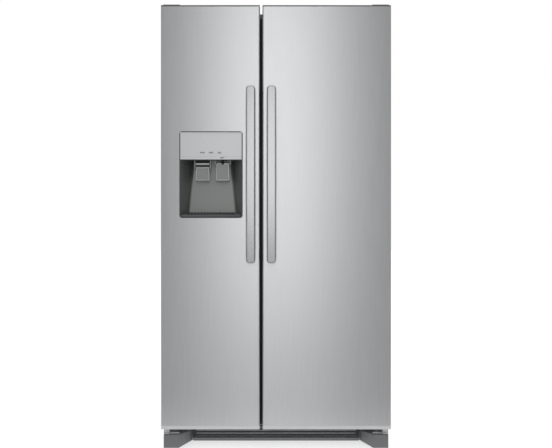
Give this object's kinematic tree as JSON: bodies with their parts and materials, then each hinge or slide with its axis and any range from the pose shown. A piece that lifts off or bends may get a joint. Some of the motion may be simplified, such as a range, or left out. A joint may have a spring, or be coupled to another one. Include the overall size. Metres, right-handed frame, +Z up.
{
  "type": "side by side refrigerator",
  "caption": "Free-standing two-door refrigerator and freezer with an ice and water dispenser in the freezer door and bowed bar handles.",
  "frame": {"origin": "on the floor under the middle of the whole object's box", "axes": "+Z up, -Y out of the doors, +X to the right as seen from the front"},
  "size_m": [0.918, 0.848, 1.775],
  "materials": {
    "stainless_skin": "vertically brushed stainless steel",
    "painted_steel": "grey baked enamel, fine texture",
    "zinc_steel": "zinc plated steel",
    "grey_plastic": "moulded, satin",
    "white_liner": "vacuum formed, satin gloss",
    "clear_plastic": "clear moulded",
    "black_plastic": "moulded, fine texture",
    "foam": "rigid foam, closed cell",
    "tempered_glass": "clear, polished edges",
    "gasket_rubber": "extruded, matt",
    "copper_tube": "drawn tube",
    "aluminium_fins": "mill finish",
    "black_steel": "gloss black enamel",
    "roller_plastic": "moulded nylon"
  },
  "bodies": {
    "cabinet": {"outer_shell": "painted_steel", "back_panel": "zinc_steel", "cabinet_foam": "foam", "freezer_liner": "white_liner", "fridge_liner": "white_liner", "mullion_cover": "black_plastic", "base_frame": "zinc_steel", "toe_grille": "black_plastic", "leg_covers": "grey_plastic", "top_hinges": "zinc_steel", "hinge_covers": "grey_plastic", "bottom_hinges": "zinc_steel", "compressor": "black_steel", "condenser_coil": "copper_tube", "drain_pan": "black_plastic", "rear_cover": "black_plastic", "power_inlet": "black_plastic", "evaporator_cover": "white_liner", "evaporator_coil": "aluminium_fins", "light_lenses": "clear_plastic", "water_filter": "white_liner", "shelf_frames": "white_liner", "shelf_glass": "tempered_glass", "ice_maker": "white_liner", "ice_bin": "clear_plastic"},
    "freezer_door": {"freezer_door_skin": "stainless_skin", "freezer_door_caps": "grey_plastic", "freezer_door_foam": "foam", "freezer_door_liner": "white_liner", "freezer_door_gasket": "gasket_rubber", "freezer_handle": "stainless_skin", "dispenser_housing": "grey_plastic", "dispenser_panel": "grey_plastic", "dispenser_tray": "grey_plastic", "ice_chute": "black_plastic", "water_nozzle": "black_plastic", "freezer_door_bins": "clear_plastic"},
    "fridge_door": {"fridge_door_skin": "stainless_skin", "fridge_door_caps": "grey_plastic", "fridge_door_foam": "foam", "fridge_door_liner": "white_liner", "fridge_door_gasket": "gasket_rubber", "fridge_handle": "stainless_skin", "fridge_door_bins": "clear_plastic"},
    "ice_arm": {"ice_arm": "zinc_steel"},
    "ice_auger": {"ice_auger": "zinc_steel"},
    "condenser_fan": {"condenser_fan": "black_plastic"},
    "evaporator_fan": {"evaporator_fan": "black_plastic"},
    "upper_crisper": {"upper_crisper": "clear_plastic"},
    "lower_crisper": {"lower_crisper": "clear_plastic"},
    "freezer_basket": {"freezer_basket": "white_liner"},
    "rear_rollers": {"rear_rollers": "roller_plastic"},
    "levelling_leg_left": {"levelling_leg_left": "zinc_steel"},
    "levelling_leg_right": {"levelling_leg_right": "zinc_steel"},
    "ice_paddle": {"ice_paddle": "grey_plastic"},
    "water_paddle": {"water_paddle": "grey_plastic"},
    "panel_button_left": {"panel_button_left": "grey_plastic"},
    "panel_button_middle": {"panel_button_middle": "grey_plastic"},
    "panel_button_right": {"panel_button_right": "grey_plastic"},
    "dairy_lid": {"dairy_lid": "clear_plastic"}
  },
  "joints": [
    {"name": "freezer_door_hinge", "type": "hinge", "parent": "cabinet", "child": "freezer_door", "pos_m": [-0.435, -0.334, 0.921], "axis": [0, 0, -1], "range_deg": [0, 130]},
    {"name": "fridge_door_hinge", "type": "hinge", "parent": "cabinet", "child": "fridge_door", "pos_m": [0.435, -0.334, 0.921], "axis": [0, 0, 1], "range_deg": [0, 130]},
    {"name": "freezer_basket_slide", "type": "slide", "parent": "cabinet", "child": "freezer_basket", "axis": [0, -1, 0], "range_m": [0, 0.2]},
    {"name": "upper_crisper_slide", "type": "slide", "parent": "cabinet", "child": "upper_crisper", "axis": [0, -1, 0], "range_m": [0, 0.2]},
    {"name": "lower_crisper_slide", "type": "slide", "parent": "cabinet", "child": "lower_crisper", "axis": [0, -1, 0], "range_m": [0, 0.2]},
    {"name": "ice_paddle_pivot", "type": "hinge", "parent": "freezer_door", "child": "ice_paddle", "pos_m": [-0.296, -0.309, 1.126], "axis": [1, 0, 0], "range_deg": [0, 12], "stiffness_Nm_per_rad": 0.2},
    {"name": "water_paddle_pivot", "type": "hinge", "parent": "freezer_door", "child": "water_paddle", "pos_m": [-0.215, -0.309, 1.142], "axis": [1, 0, 0], "range_deg": [0, 12], "stiffness_Nm_per_rad": 0.2},
    {"name": "panel_button_left_press", "type": "slide", "parent": "freezer_door", "child": "panel_button_left", "axis": [0, 1, 0], "range_m": [0, 0.0015], "stiffness_N_per_m": 400},
    {"name": "panel_button_middle_press", "type": "slide", "parent": "freezer_door", "child": "panel_button_middle", "axis": [0, 1, 0], "range_m": [0, 0.0015], "stiffness_N_per_m": 400},
    {"name": "panel_button_right_press", "type": "slide", "parent": "freezer_door", "child": "panel_button_right", "axis": [0, 1, 0], "range_m": [0, 0.0015], "stiffness_N_per_m": 400},
    {"name": "dairy_lid_hinge", "type": "hinge", "parent": "fridge_door", "child": "dairy_lid", "pos_m": [0.18488, -0.197, 1.644], "axis": [1, 0, 0], "range_deg": [0, 80]},
    {"name": "ice_arm_pivot", "type": "hinge", "parent": "cabinet", "child": "ice_arm", "pos_m": [-0.24413, -0.093, 1.56], "axis": [1, 0, 0], "range_deg": [-25, 20]},
    {"name": "ice_auger_spin", "type": "hinge", "parent": "cabinet", "child": "ice_auger", "pos_m": [-0.296, 0, 1.323], "axis": [0, 1, 0], "continuous": true},
    {"name": "condenser_fan_spin", "type": "hinge", "parent": "cabinet", "child": "condenser_fan", "pos_m": [0.034, 0.303, 0.165], "axis": [0, 1, 0], "continuous": true},
    {"name": "evaporator_fan_spin", "type": "hinge", "parent": "cabinet", "child": "evaporator_fan", "pos_m": [-0.24413, 0.318, 1.195], "axis": [0, 1, 0], "continuous": true},
    {"name": "rear_roller_spin", "type": "hinge", "parent": "cabinet", "child": "rear_rollers", "pos_m": [0, 0.35, 0.019], "axis": [1, 0, 0], "continuous": true},
    {"name": "levelling_leg_left_screw", "type": "hinge", "parent": "cabinet", "child": "levelling_leg_left", "pos_m": [-0.42, -0.275, 0], "axis": [0, 0, 1], "continuous": true},
    {"name": "levelling_leg_right_screw", "type": "hinge", "parent": "cabinet", "child": "levelling_leg_right", "pos_m": [0.42, -0.275, 0], "axis": [0, 0, 1], "continuous": true}
  ],
  "couplings": [
    {"joint": "freezer_basket_slide", "follows": "freezer_door_hinge", "m_per_rad": 0.0881},
    {"joint": "upper_crisper_slide", "follows": "fridge_door_hinge", "m_per_rad": 0.0881},
    {"joint": "lower_crisper_slide", "follows": "fridge_door_hinge", "m_per_rad": 0.0881}
  ]
}
